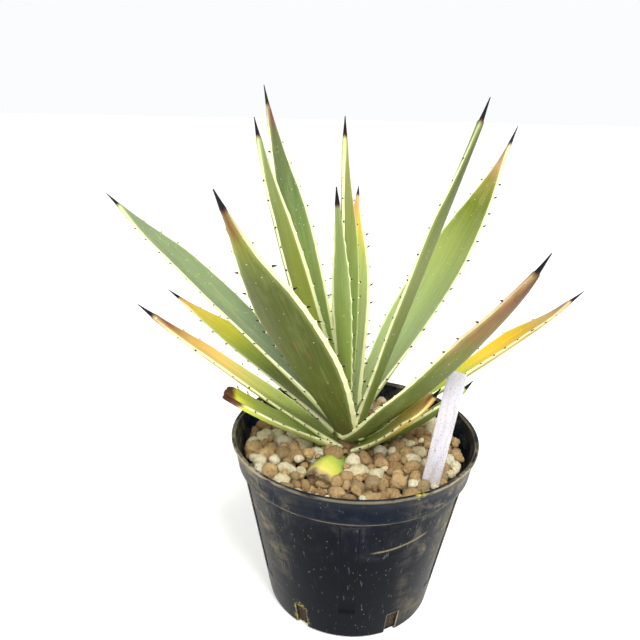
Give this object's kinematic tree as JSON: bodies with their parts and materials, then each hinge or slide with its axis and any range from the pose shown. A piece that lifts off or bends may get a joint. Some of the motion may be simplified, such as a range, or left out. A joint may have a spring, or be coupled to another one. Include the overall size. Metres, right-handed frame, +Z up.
{
  "type": "potted agave",
  "caption": "Young agave rosette with stiff, spine-tipped, toothed leaves, growing in pumice and akadama granules in a tapered plastic nursery pot with a plant label.",
  "frame": {"origin": "middle of the pot's flat underside", "axes": "+Z up along the pot's axis, -Y towards the viewer of the plant's front, +X to the viewer's right"},
  "size_m": [0.3254, 0.2426, 0.3116],
  "materials": {
    "pot_plastic": "moulded black plastic, dusty",
    "mix": "porous granules",
    "cream_stone": "pumice",
    "ochre_stone": "akadama clay",
    "stem": "fibrous bark",
    "leaf_green": "waxy leaf with cream margins",
    "leaf_gold": "yellowed leaf",
    "leaf_brown": "browned leaf",
    "leaf_decayed": "rotting leaf stump",
    "label_plastic": "white plastic, dusty"
  },
  "bodies": {
    "root": {"granule_01": "ochre_stone", "granule_02": "ochre_stone", "granule_03": "cream_stone", "granule_04": "ochre_stone", "granule_05": "ochre_stone", "granule_06": "cream_stone", "granule_07": "ochre_stone", "granule_08": "ochre_stone", "granule_09": "cream_stone", "granule_10": "ochre_stone", "granule_11": "ochre_stone", "granule_12": "cream_stone", "granule_13": "ochre_stone", "granule_14": "ochre_stone", "granule_15": "cream_stone", "granule_16": "ochre_stone", "granule_17": "ochre_stone", "granule_18": "cream_stone", "granule_19": "ochre_stone", "granule_20": "ochre_stone", "granule_21": "cream_stone", "granule_22": "ochre_stone", "granule_23": "ochre_stone", "granule_24": "cream_stone", "granule_25": "ochre_stone", "leaf_back": "leaf_green", "leaf_centre": "leaf_green", "leaf_centre_young": "leaf_green", "leaf_cut_short": "leaf_green", "leaf_front_left": "leaf_green", "leaf_left_brown": "leaf_brown", "leaf_left_long": "leaf_green", "leaf_left_yellow": "leaf_gold", "leaf_right": "leaf_green", "leaf_right_yellow": "leaf_gold", "leaf_short_behind_label": "leaf_green", "leaf_short_right": "leaf_gold", "leaf_upper_left": "leaf_green", "leaf_upper_left_narrow": "leaf_green", "leaf_upper_right": "leaf_green", "leaf_upper_right_narrow": "leaf_green", "nursery_pot": "pot_plastic", "old_leaf_base": "leaf_decayed", "plant_label": "label_plastic", "potting_mix": "mix", "stem_and_roots": "stem"}
  },
  "joints": []
}
